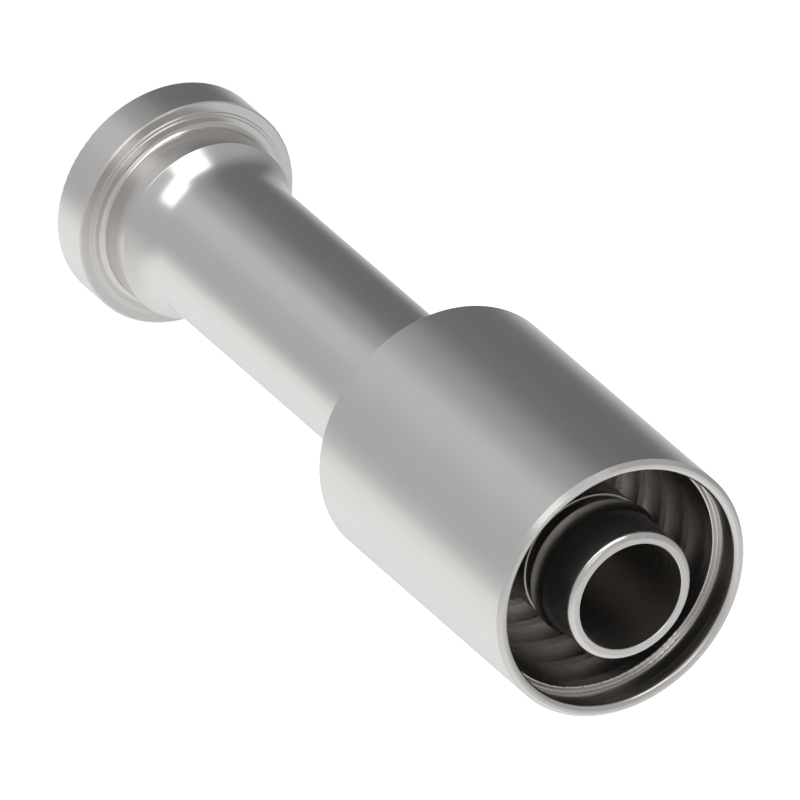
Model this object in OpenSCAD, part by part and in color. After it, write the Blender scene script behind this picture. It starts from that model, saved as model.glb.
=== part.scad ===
// Straight crimp hose fitting: a flange-head stem with a barbed hose insert, and the crimp shell
// staked on it. It stands on its flange face, with the axis along +Z and the hose end up.

/* [Flange head] */
// Outside diameter of the flange head
head_d = 54; // [52:0.1:58]
// Thickness of the head, from the seal face to the clamp side
head_t = 10.3; // [8:0.1:13]
// Rounding of the rim at the seal face
head_edge_r = 0.5; // [0.3:0.1:1.2]
// Chamfer of the rim at the clamp side
head_chamfer = 0.35; // [0.2:0.05:0.8]
// Width of the land at the head's rim, chamfer included, that the clamps press on
clamp_land_w = 2.45; // [1.9:0.05:3.2]
// Width of the stepped ring inside that land, from its foot in to the neck
ring_w = 3.1; // [2.8:0.05:3.6]
// Width of the low step at the ring's foot
step_w = 0.65; // [0.5:0.05:0.9]
// Height of that step above the land
step_h = 0.45; // [0.3:0.05:0.5]
// Height of the ring's top above the land
ring_h = 0.85; // [0.75:0.05:1.2]
// Rounding of the edges of the step and the ring
ring_edge_r = 0.15; // [0.1:0.05:0.2]

/* [Seal groove] */
// Outside diameter of the O-ring groove in the seal face
seal_groove_d = 44.5; // [42:0.1:46]
// Radial width of the O-ring groove
seal_groove_w = 4.3; // [3.5:0.1:5]
// Depth of the O-ring groove
seal_groove_depth = 2.8; // [2:0.1:3.5]

/* [Neck and tube] */
// Straight length of the neck, from the clamp side to where it turns in
neck_l = 9.2; // [6:0.1:12]
// Concave radius between the neck and the ring
neck_foot_r = 1.2; // [0.5:0.1:1.5]
// Rounding of the edge where the neck turns in
neck_shoulder_r = 0.3; // [0.2:0.1:3]
// Concave radius that runs out into the tube
neck_blend_r = 13.9; // [9:0.1:16]
// Outside diameter of the tube
tube_d = 35.9; // [34.5:0.1:37.5]
// From the clamp side of the head to the back of the shell
shank_l = 111.9; // [80:0.1:160]
// Bore through the whole fitting
bore_d = 25.4; // [22:0.1:26]
// Chamfer at both ends of the bore
bore_chamfer = 0.2; // [0.1:0.1:0.5]

/* [Hose insert] */
// Diameter of the insert at its nose
nose_d = 30.6; // [29.8:0.1:31]
// Rounding of the nose's outer edge
nose_edge_r = 1.3; // [0.5:0.1:1.8]
// How far the nose stands out of the shell's mouth
nose_proud = 3.7; // [0:0.1:8]
// Length from the nose back to the sharp edge of the first barb
nose_l = 15; // [10:0.5:18]
// Diameter of each barb at its sharp edge
barb_d = 32.7; // [32:0.1:33.5]
// Radius of the hollow flare that rises to that edge
flare_r = 6; // [3:0.5:9]
// Width of the bite groove behind each barb
bite_w = 4; // [2.5:0.1:5]
// Diameter of the floor of the bite groove
bite_d = 31; // [30:0.1:31.2]
// Diameter of the land behind the bite groove
land_d = 31.4; // [31.3:0.1:31.8]
// Distance from barb to barb
barb_pitch = 26; // [18:0.5:28]
// Number of barbs
barb_count = 2; // [1:1:2]
// Length of the shoulder that stops the hose, in front of the shell's back wall
stop_l = 4; // [2:0.1:5]

/* [Crimp shell] */
// Outside diameter of the shell
shell_d = 61.9; // [60.5:0.1:66]
// Length of the shell
shell_l = 77.9; // [74:0.1:90]
// Rounding of the inner edge at the mouth
mouth_edge_r = 1.3; // [0.5:0.1:1.3]
// Chamfer of the outer edge at the mouth
mouth_chamfer = 0.95; // [0.5:0.05:1.2]
// Rounding of the outer edge at the back
back_edge_r = 0.4; // [0.2:0.1:2]
// Thickness of the back wall that grips the stem
back_wall_t = 6; // [5:0.1:8]
// Thickness of the wall round the hose
shell_wall_t = 3.35; // [3.3:0.05:3.8]
// How far the lip at the mouth is cut into that wall
lip_cut = 0.6; // [0.3:0.05:0.65]
// Length of that lip
lip_l = 2.8; // [2:0.1:3.5]
// How far the narrow groove behind the lip is cut into the wall
groove_cut = 1.6; // [1.3:0.05:1.8]
// Width of that groove
groove_w = 0.95; // [0.6:0.05:1.2]
// How far the counterbore is cut into the wall
counterbore_cut = 1.05; // [0.9:0.05:1.2]
// Depth of the counterbore, from the mouth to the ledge at its bottom
counterbore_depth = 8.5; // [8:0.1:10]
// How far the relief over the ledge is cut into the wall
relief_cut = 1.35; // [1.3:0.05:1.6]
// Length of the relief
relief_l = 2.8; // [1.5:0.1:3.5]
// Radius in the corner between the relief and the ledge
relief_corner_r = 0.35; // [0.1:0.05:0.5]
// Rounding of the ledge's inner edge
ledge_edge_r = 0.4; // [0.1:0.05:0.5]
// Height of the low gripping ridges in the bore
ridge_h = 0.2; // [0.1:0.05:0.5]
// Width of each ridge at its foot
ridge_w = 7; // [2:0.5:7]
// Distance from the mouth to the middle of the first ridge
ridge_start = 15; // [13:0.1:18]
// Distance from ridge to ridge
ridge_pitch = 9.4; // [8:0.1:12]
// Room kept free of ridges in front of the back wall
ridge_free_l = 5; // [4:0.1:12]

/* [Lock between shell and stem] */
// Depth of the lock groove in the stem
lock_depth = 1; // [0.5:0.1:1.5]
// Width of the lock groove at its bottom
lock_w = 1.6; // [1:0.1:2]
// Radial clearance between the shell's back wall and the stem
lock_gap = 0.08; // [0.05:0.01:0.15]

/* [Hidden] */
$fn = 128;

// How far a cutting body reaches past what it cuts, and a buried end into what it joins
cut = 1;

head_r = head_d / 2;
ring_r = head_r - clamp_land_w;
ring_top_r = ring_r - step_w;
neck_r = ring_r - ring_w;
tube_r = tube_d / 2;
bore_r = bore_d / 2;
nose_r = nose_d / 2;
barb_r = barb_d / 2;
bite_r = bite_d / 2;
land_r = land_d / 2;
shell_r = shell_d / 2;
chamber_r = shell_r - shell_wall_t;
lip_r = chamber_r + lip_cut;
relief_r = chamber_r + relief_cut;

// Heights above the seal face
step_z = head_t + step_h;
ring_top_z = head_t + ring_h;
neck_top_z = head_t + neck_l;
shell_back_z = head_t + shank_l;
chamber_z = shell_back_z + back_wall_t;
stop_z = chamber_z + stop_l;
mouth_z = shell_back_z + shell_l;
ledge_z = mouth_z - counterbore_depth;
nose_z = mouth_z + nose_proud;
lock_z = shell_back_z + back_wall_t / 2;

// The two neck arcs touch where they share this slope
neck_slope = acos(1 - (neck_r - tube_r) / (neck_shoulder_r + neck_blend_r));
shoulder_center = [neck_r - neck_shoulder_r, neck_top_z];
blend_center = shoulder_center
    + (neck_shoulder_r + neck_blend_r) * [cos(neck_slope), sin(neck_slope)];
arcs_touch = shoulder_center + neck_shoulder_r * [cos(neck_slope), sin(neck_slope)];

// The circle that a ridge's crest is part of, through the ridge's two feet
ridge_crest_r = (pow(ridge_w / 2, 2) + pow(ridge_h, 2)) / (2 * ridge_h);
ridge_count = floor((mouth_z - ridge_start - chamber_z - ridge_free_l) / ridge_pitch) + 1;

// Every outline below is half a section: x is the radius and y the height

module box(r0, r1, z0, z1) {
    translate([r0, z0]) square([r1 - r0, z1 - z0]);
}

module disc(r, z, radius) {
    translate([r, z]) circle(radius);
}

// A solid band up to radius r, with a rounding at its lower and upper outer edge
module rounded_band(r, z0, z1, low_r, high_r) {
    box(0, r, z0 + low_r, z1 - high_r);
    box(0, r - low_r, z0, z0 + low_r);
    box(0, r - high_r, z1 - high_r, z1);
    disc(r - low_r, z0 + low_r, low_r);
    disc(r - high_r, z1 - high_r, high_r);
}

// The same with a 45 degree chamfer at its upper outer edge
module chamfered_band(r, z0, z1, low_r, chamfer) {
    disc(r - low_r, z0 + low_r, low_r);
    polygon([
        [0, z0], [r - low_r, z0], [r - low_r, z0 + low_r], [r, z0 + low_r],
        [r, z1 - chamfer], [r - chamfer, z1], [0, z1]
    ]);
}

// The concave fillet in the corner over a floor at height z and outside a wall at radius r
module foot(r, z, radius) {
    difference() {
        box(r - cut, r + radius, z - cut, z + radius);
        disc(r + radius, z + radius, radius);
    }
}

// What a rounding takes off the outer upper corner at radius r and height z
module round_off(r, z, radius) {
    difference() {
        box(r - radius, r + cut, z - radius, z + cut);
        disc(r - radius, z - radius, radius);
    }
}

// The same for the upper corner of a bore's wall at radius r
module round_in(r, z, radius) {
    difference() {
        box(r - cut, r + radius, z - radius, z + cut);
        disc(r + radius, z - radius, radius);
    }
}

module head_outline() {
    chamfered_band(head_r, 0, head_t, head_edge_r, head_chamfer);
    rounded_band(ring_r, head_t - cut, step_z, ring_edge_r, ring_edge_r);
    rounded_band(ring_top_r, head_t - cut, ring_top_z, ring_edge_r, ring_edge_r);
    foot(ring_r, head_t, ring_edge_r);
    foot(ring_top_r, step_z, ring_edge_r);
    foot(neck_r, ring_top_z, neck_foot_r);
}

module neck_outline() {
    box(0, neck_r, head_t, neck_top_z);
    disc(shoulder_center.x, shoulder_center.y, neck_shoulder_r);
    difference() {
        polygon([
            [0, neck_top_z], shoulder_center, arcs_touch,
            blend_center, [0, blend_center.y]
        ]);
        disc(blend_center.x, blend_center.y, neck_blend_r);
    }
}

// The tube, with the groove that the shell's back wall is staked into
module tube_outline() {
    difference() {
        box(0, tube_r, blend_center.y - cut, stop_z);
        lock_ring(0);
    }
}

// A ring with sloped flanks, lock_depth inside the tube's surface moved out by gap
module lock_ring(gap) {
    inner = tube_r - lock_depth + gap;
    reach = lock_depth + cut;
    polygon([
        [inner, lock_z - lock_w / 2], [inner + reach, lock_z - lock_w / 2 - reach],
        [inner + reach, lock_z + lock_w / 2 + reach], [inner, lock_z + lock_w / 2]
    ]);
}

// A barb's hollow flare, from the surface at start_r out to its sharp edge at height z
module barb(z, start_r) {
    rise = barb_r - start_r;
    flare_l = sqrt(rise * (2 * flare_r - rise));
    difference() {
        box(0, barb_r, z, z + flare_l);
        disc(start_r + flare_r, z + flare_l, flare_r);
    }
}

function barb_z(i) = nose_z - nose_l - i * barb_pitch;

module insert_outline() {
    difference() {
        box(0, nose_r, barb_z(0), nose_z);
        round_off(nose_r, nose_z, nose_edge_r);
    }
    for (i = [0 : 1 : barb_count - 1]) {
        land_end_z = i == barb_count - 1 ? stop_z - cut : barb_z(i + 1);
        barb(barb_z(i), i == 0 ? nose_r : land_r);
        box(0, bite_r, barb_z(i) - bite_w - cut, barb_z(i) + cut);
        box(0, land_r, land_end_z, barb_z(i) - bite_w);
    }
}

module stem_bore() {
    rim_r = bore_r + bore_chamfer;
    translate([0, 0, -cut]) cylinder(h = nose_z + 2 * cut, r = bore_r);
    translate([0, 0, -cut]) cylinder(h = cut + bore_chamfer, r1 = rim_r + cut, r2 = bore_r);
    translate([0, 0, nose_z - bore_chamfer])
        cylinder(h = cut + bore_chamfer, r1 = bore_r, r2 = rim_r + cut);
}

module seal_groove() {
    groove_r = seal_groove_d / 2;
    translate([0, 0, -cut]) difference() {
        cylinder(h = cut + seal_groove_depth, r = groove_r);
        translate([0, 0, -cut])
            cylinder(h = 3 * cut + seal_groove_depth, r = groove_r - seal_groove_w);
    }
}

module flange_stem() {
    color([0.71, 0.70, 0.68]) difference() {
        union() {
            rotate_extrude() head_outline();
            rotate_extrude() neck_outline();
            rotate_extrude() tube_outline();
            rotate_extrude() insert_outline();
        }
        stem_bore();
        seal_groove();
    }
}

// A low gripping ridge in the bore, with a round crest
module ridge(z) {
    intersection() {
        disc(chamber_r - ridge_h + ridge_crest_r, z, ridge_crest_r);
        box(chamber_r - cut, chamber_r + ridge_h, z - ridge_w, z + ridge_w);
    }
}

module shell_outline() {
    difference() {
        chamfered_band(shell_r, shell_back_z, mouth_z, back_edge_r, mouth_chamfer);
        box(0, tube_r + lock_gap, shell_back_z - cut, chamber_z + cut);
        box(0, chamber_r, chamber_z, mouth_z + cut);
        box(0, lip_r, ledge_z, mouth_z + cut);
        box(0, chamber_r + counterbore_cut, ledge_z, mouth_z - lip_l);
        box(0, chamber_r + groove_cut, mouth_z - lip_l - groove_w, mouth_z - lip_l);
        box(0, relief_r, ledge_z + relief_corner_r, ledge_z + relief_l);
        disc(relief_r - relief_corner_r, ledge_z + relief_corner_r, relief_corner_r);
        box(0, relief_r - relief_corner_r, ledge_z, ledge_z + relief_l);
        round_in(lip_r, mouth_z, mouth_edge_r);
        round_in(chamber_r, ledge_z, ledge_edge_r);
    }
    intersection() {
        lock_ring(lock_gap);
        box(0, tube_r + cut, shell_back_z, chamber_z);
    }
    for (i = [0 : 1 : ridge_count - 1]) ridge(mouth_z - ridge_start - i * ridge_pitch);
}

module crimp_shell() {
    color([0.73, 0.72, 0.70]) rotate_extrude() shell_outline();
}

flange_stem();
crimp_shell();
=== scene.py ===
"""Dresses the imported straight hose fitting: satin steel, a pale floor and soft studio light.

Metres, with +Z along the fitting's axis. It stands on its flange face and its hose end is up. The photograph
looks down into the hose end without perspective, and turned so that the fitting runs down to the right.
"""
import math

import bpy
from mathutils import Matrix, Vector

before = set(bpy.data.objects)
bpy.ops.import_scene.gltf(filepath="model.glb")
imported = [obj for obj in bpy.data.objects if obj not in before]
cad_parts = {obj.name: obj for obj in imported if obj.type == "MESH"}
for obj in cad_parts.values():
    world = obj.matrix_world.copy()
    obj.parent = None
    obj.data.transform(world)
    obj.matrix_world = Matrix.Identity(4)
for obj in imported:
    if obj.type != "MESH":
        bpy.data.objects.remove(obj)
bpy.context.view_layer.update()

MM = 0.001

# Camera: how high it looks down from, and how far the picture is turned round the line of sight, in degrees,
# how wide a view it takes in, and its aim: a height on the axis, and a small shift up the picture from there
VIEW_ELEVATION = 48.59
PICTURE_TURN = 130.89
VIEW_WIDTH = 174.4 * MM
AIM_HEIGHT = 104.0 * MM
AIM_UP = -0.62 * MM

# A lens this long leaves hardly any perspective
LENS = 1700.0
SENSOR = 36.0
CLIP_START = 0.1

# Floor: its own glow keeps it pale under the fitting
FLOOR_SIZE = 6.0
FLOOR_TONE = 0.9
FLOOR_ROUGHNESS = 0.9
FLOOR_GLOW = 0.55

# Finishes of the steel, with the depth of their turning marks
OUTSIDE = dict(color=(0.66, 0.645, 0.63), roughness=0.24, depth=0.0006 * MM)
BORE = dict(color=(0.74, 0.70, 0.67), roughness=0.30, depth=0.0001 * MM)
CHAMBER = dict(color=(0.66, 0.64, 0.62), roughness=0.25, depth=0.0004 * MM)

# Each node's finish inside, and the radius that it reaches out to
INSIDES = {"flange_stem": (BORE, 12.9 * MM), "crimp_shell": (CHAMBER, 29.4 * MM)}
FINISH_EDGE = 0.3 * MM

# Turning marks and patches: their widths, and the fineness of each noise
FINE_RING = 0.22 * MM
FINE_RING_DETAIL = 2.0
BROAD_RING = 2.6 * MM
BROAD_RING_DETAIL = 1.0
PATCH = 22 * MM
PATCH_DETAIL = 3.0

# Nearly all of a noise lies in this span
NOISE_SPAN = (0.3, 0.7)

# How much patches and broad rings each count, and how far they take tone and roughness up or down
PATCH_SHARE = 0.5
BROAD_RING_SHARE = 0.3
TONE_CHANGE = 0.012
GLOSS_CHANGE = 0.02

# Rubbed edges: how wide, bright and glossy they are. The normal, smoothed over EDGE_WIDTH, agrees with the
# true one by the first number of EDGE_AGREEMENT off an edge, and by the second on one. Within
# SHELTERED_RADIUS the shell keeps the insert's edges from being rubbed.
EDGE_WIDTH = 0.25 * MM
EDGE_SAMPLES = 4
EDGE_AGREEMENT = (0.995, 0.9)
EDGE_COLOR = (0.72, 0.71, 0.70)
EDGE_GLOSS = 0.04
SHELTERED_RADIUS = 16.5 * MM

# The studio as soft upright panels. An azimuth of 0 is the camera's side and 90 is world +X.
# Each entry is (azimuth, brightness), and the brightness runs smoothly from one to the next.
# WALL is what the fitting's upright sides mirror, from below the level, and TOP is what its rims mirror.
WALL = (
    (-180, 0.80), (-166, 0.84), (-150, 0.52), (-128, 0.20), (-100, 0.20), (-70, 0.225), (-40, 0.45),
    (-14, 0.72), (0, 0.70), (25, 0.61), (55, 0.59), (66, 0.71), (82, 1.08), (100, 1.11), (125, 1.08),
    (144, 0.98), (160, 0.90), (180, 0.80),
)
TOP = (
    (-180, 0.77), (-150, 0.56), (-130, 0.45), (-100, 0.53), (-45, 0.50), (-20, 0.60), (0, 0.66),
    (20, 0.61), (45, 0.58), (62, 0.72), (85, 0.90), (120, 0.98), (150, 1.0), (180, 0.77),
)
CEILING = 0.62

# Elevations over which one gives way to the next, in degrees
WALL_TO_TOP = (-30, 0)
TOP_TO_CEILING = (58, 76)

# The softboxes: azimuths and elevations that they fill, how much their middle line drops per degree of
# azimuth, the softness of their edges, all in degrees, and their brightness
SOFTBOXES = (
    dict(azimuth=(-59, -25), elevation=(-12, 30), slant=0.0, edge=4, brightness=2.4),
    dict(azimuth=(-26, 6), elevation=(-26, 7), slant=-0.2, edge=4, brightness=2.4),
    dict(azimuth=(-25, 7), elevation=(37, 60), slant=0.0, edge=6, brightness=1.5),
)

FULL_TURN = 360
DEGREE = 180 / math.pi
WHITE = (1.0, 1.0, 1.0, 1.0)


class Graph:
    """Makes the nodes of a material or world. A node takes in another node's output or a plain value."""

    def __init__(self, tree):
        self.nodes, self.links = tree.nodes, tree.links

    def node(self, kind, **settings):
        made = self.nodes.new("ShaderNode" + kind)
        for name, value in settings.items():
            setattr(made, name, value)
        return made

    def feed(self, socket, value):
        if isinstance(value, bpy.types.NodeSocket):
            self.links.new(value, socket)
        else:
            socket.default_value = value

    def calculate(self, operation, *values):
        made = self.node("Math", operation=operation)
        for socket, value in zip(made.inputs, values):
            self.feed(socket, value)
        return made.outputs[0]

    def vector_math(self, operation, *values):
        made = self.node("VectorMath", operation=operation)
        for socket, value in zip(made.inputs, values):
            self.feed(socket, value)
        return made.outputs["Value" if operation in ("DOT_PRODUCT", "LENGTH") else "Vector"]

    def remap(self, value, span, to_span=(0.0, 1.0), interpolation="LINEAR"):
        made = self.node("MapRange", interpolation_type=interpolation)
        names = ("Value", "From Min", "From Max", "To Min", "To Max")
        for name, number in zip(names, (value, *span, *to_span)):
            self.feed(made.inputs[name], number)
        return made.outputs["Result"]

    def smooth(self, value, span):
        return self.remap(value, span, interpolation="SMOOTHSTEP")

    def inside(self, value, span, edge):
        """1 within the span and 0 outside it, with edges of the given width."""
        rise, fall = (self.smooth(value, (end - edge / 2, end + edge / 2)) for end in span)
        return self.calculate("SUBTRACT", rise, fall)

    def mix(self, factor, low, high):
        made = self.node("Mix", data_type="FLOAT")
        for place, value in zip((0, 2, 3), (factor, low, high)):
            self.feed(made.inputs[place], value)
        return made.outputs[0]

    def mix_color(self, factor, low, high):
        made = self.node("Mix", data_type="RGBA")
        for place, value in zip((0, 6, 7), (factor, low, high)):
            self.feed(made.inputs[place], value)
        return made.outputs[2]

    def noise(self, dimensions, socket, value, width, detail):
        made = self.node("TexNoise", noise_dimensions=dimensions)
        self.feed(made.inputs["Scale"], 1 / width)
        self.feed(made.inputs["Detail"], detail)
        self.feed(made.inputs[socket], value)
        return made.outputs["Fac"]

    def ramp(self, turn, entries):
        """Brightness at a share of a full turn, from entries of (azimuth, brightness)."""
        made = self.node("ValToRGB")
        made.color_ramp.interpolation = "EASE"
        stops = made.color_ramp.elements
        while len(stops) > 1:
            stops.remove(stops[-1])
        for i, (angle, value) in enumerate(entries):
            position = angle / FULL_TURN + 0.5
            stop = stops[0] if i == 0 else stops.new(position)
            stop.position = position
            stop.color = (value, value, value, 1.0)
        self.feed(made.inputs[0], turn)
        return made.outputs[0]


def set_world():
    """Lights the fitting by the direction that light comes from. The camera itself sees plain white."""
    world = bpy.data.worlds.new("studio")
    world.use_nodes = True
    bpy.context.scene.world = world
    graph = Graph(world.node_tree)
    graph.nodes.clear()

    parts = graph.node("SeparateXYZ")
    graph.feed(parts.inputs[0], graph.node("TexCoord").outputs["Generated"])
    x, y, z = parts.outputs
    toward_camera = graph.calculate("MULTIPLY", y, -1.0)
    azimuth = graph.calculate("MULTIPLY", graph.calculate("ARCTAN2", x, toward_camera), DEGREE)
    elevation = graph.calculate("MULTIPLY", graph.calculate("ARCSINE", z), DEGREE)
    turn = graph.calculate("ADD", graph.calculate("MULTIPLY", azimuth, 1 / FULL_TURN), 0.5)

    wall, top = (graph.ramp(turn, entries) for entries in (WALL, TOP))
    brightness = graph.mix(graph.smooth(elevation, WALL_TO_TOP), wall, top)
    brightness = graph.mix(graph.smooth(elevation, TOP_TO_CEILING), brightness, CEILING)
    for box in SOFTBOXES:
        from_middle = graph.calculate("SUBTRACT", azimuth, sum(box["azimuth"]) / 2)
        drop = graph.calculate("MULTIPLY", from_middle, -box["slant"])
        across = graph.inside(azimuth, box["azimuth"], box["edge"])
        upright = graph.inside(graph.calculate("ADD", elevation, drop), box["elevation"], box["edge"])
        brightness = graph.mix(graph.calculate("MULTIPLY", across, upright), brightness, box["brightness"])

    light = graph.node("Background")
    graph.feed(light.inputs["Color"], brightness)
    plain = graph.node("Background")
    graph.feed(plain.inputs["Color"], WHITE)
    seen = graph.node("MixShader")
    graph.feed(seen.inputs[0], graph.node("LightPath").outputs["Is Camera Ray"])
    graph.feed(seen.inputs[1], light.outputs[0])
    graph.feed(seen.inputs[2], plain.outputs[0])
    graph.feed(graph.node("OutputWorld").inputs["Surface"], seen.outputs[0])


def steel(name, inside, inner_radius):
    """Turned steel: fine rings round its axis, uneven in tone and gloss, and rubbed bright on its edges.

    It has the finish OUTSIDE, and within inner_radius of the axis the finish inside.
    """
    material = bpy.data.materials.new(name)
    material.use_nodes = True
    graph = Graph(material.node_tree)
    shader = graph.nodes["Principled BSDF"]
    shader.inputs["Metallic"].default_value = 1.0

    place = graph.node("TexCoord").outputs["Object"]
    height = graph.vector_math("DOT_PRODUCT", place, (0.0, 0.0, 1.0))
    radius = graph.vector_math("LENGTH", graph.vector_math("MULTIPLY", place, (1.0, 1.0, 0.0)))
    outer = graph.remap(radius, (inner_radius - FINISH_EDGE, inner_radius))

    # Rings follow height on upright walls and radius on end faces, so their sum serves both
    along = graph.calculate("ADD", height, radius)
    fine_rings = graph.noise("1D", "W", along, FINE_RING, FINE_RING_DETAIL)
    broad_rings = graph.noise("1D", "W", along, BROAD_RING, BROAD_RING_DETAIL)
    patches = graph.noise("3D", "Vector", place, PATCH, PATCH_DETAIL)
    uneven = graph.calculate(
        "ADD",
        graph.remap(patches, NOISE_SPAN, (-PATCH_SHARE, PATCH_SHARE)),
        graph.remap(broad_rings, NOISE_SPAN, (-BROAD_RING_SHARE, BROAD_RING_SHARE)),
    )
    most = PATCH_SHARE + BROAD_RING_SHARE

    smoothed = graph.node("Bevel", samples=EDGE_SAMPLES)
    graph.feed(smoothed.inputs["Radius"], EDGE_WIDTH)
    true_normal = graph.node("NewGeometry").outputs["Normal"]
    agreement = graph.vector_math("DOT_PRODUCT", smoothed.outputs[0], true_normal)
    exposed = graph.remap(radius, (SHELTERED_RADIUS, SHELTERED_RADIUS + FINISH_EDGE))
    edge = graph.remap(agreement, EDGE_AGREEMENT, (0.0, exposed))

    def toned(color, share):
        return (*(share * c for c in color), 1.0)

    dark, light = (
        graph.mix_color(outer, toned(inside["color"], share), toned(OUTSIDE["color"], share))
        for share in (1 - TONE_CHANGE, 1 + TONE_CHANGE)
    )
    body = graph.mix_color(graph.remap(uneven, (-most, most)), dark, light)
    graph.feed(shader.inputs["Base Color"], graph.mix_color(edge, body, toned(EDGE_COLOR, 1)))

    roughness = graph.remap(outer, (0.0, 1.0), (inside["roughness"], OUTSIDE["roughness"]))
    patchy = graph.remap(uneven, (-most, most), (-GLOSS_CHANGE, GLOSS_CHANGE))
    rubbed = graph.remap(edge, (0.0, 1.0), (0.0, -EDGE_GLOSS))
    roughness = graph.calculate("ADD", graph.calculate("ADD", roughness, patchy), rubbed)
    graph.feed(shader.inputs["Roughness"], roughness)

    depth = graph.remap(outer, (0.0, 1.0), (inside["depth"], OUTSIDE["depth"]))
    marks = graph.node("Bump")
    graph.feed(marks.inputs["Distance"], 1.0)
    graph.feed(marks.inputs["Height"], graph.remap(fine_rings, (0.0, 1.0), (0.0, depth)))
    graph.feed(shader.inputs["Normal"], marks.outputs[0])
    return material


def add_floor():
    half = FLOOR_SIZE / 2
    mesh = bpy.data.meshes.new("floor")
    corners = [(-half, -half, 0), (half, -half, 0), (half, half, 0), (-half, half, 0)]
    mesh.from_pydata(corners, [], [(0, 1, 2, 3)])
    floor = bpy.data.objects.new("floor", mesh)
    bpy.context.scene.collection.objects.link(floor)
    material = bpy.data.materials.new("floor_white")
    material.use_nodes = True
    shader = material.node_tree.nodes["Principled BSDF"]
    shader.inputs["Base Color"].default_value = (FLOOR_TONE, FLOOR_TONE, FLOOR_TONE, 1.0)
    shader.inputs["Roughness"].default_value = FLOOR_ROUGHNESS
    shader.inputs["Emission Color"].default_value = WHITE
    shader.inputs["Emission Strength"].default_value = FLOOR_GLOW
    mesh.materials.append(material)
    floor.visible_glossy = False


def add_camera():
    elevation = math.radians(VIEW_ELEVATION)
    back = Vector((0.0, -math.cos(elevation), math.sin(elevation)))
    level = Vector((1.0, 0.0, 0.0))
    turned = Matrix.Rotation(math.radians(PICTURE_TURN), 3, back)
    right = turned @ level
    up = turned @ back.cross(level)
    aim = Vector((0.0, 0.0, AIM_HEIGHT)) + AIM_UP * up
    distance = VIEW_WIDTH * LENS / SENSOR
    data = bpy.data.cameras.new("photo_camera")
    data.lens = LENS
    data.sensor_width = SENSOR
    data.clip_start = CLIP_START
    data.clip_end = 2 * distance
    camera = bpy.data.objects.new("photo_camera", data)
    bpy.context.scene.collection.objects.link(camera)
    axes = Matrix((right, up, back)).transposed().to_4x4()
    camera.matrix_world = Matrix.Translation(aim + distance * back) @ axes
    bpy.context.scene.camera = camera


for node, (inside, inner_radius) in INSIDES.items():
    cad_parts[node].data.materials[0] = steel(node + "_steel", inside, inner_radius)
set_world()
add_floor()
add_camera()
bpy.context.scene.view_settings.view_transform = "Standard"
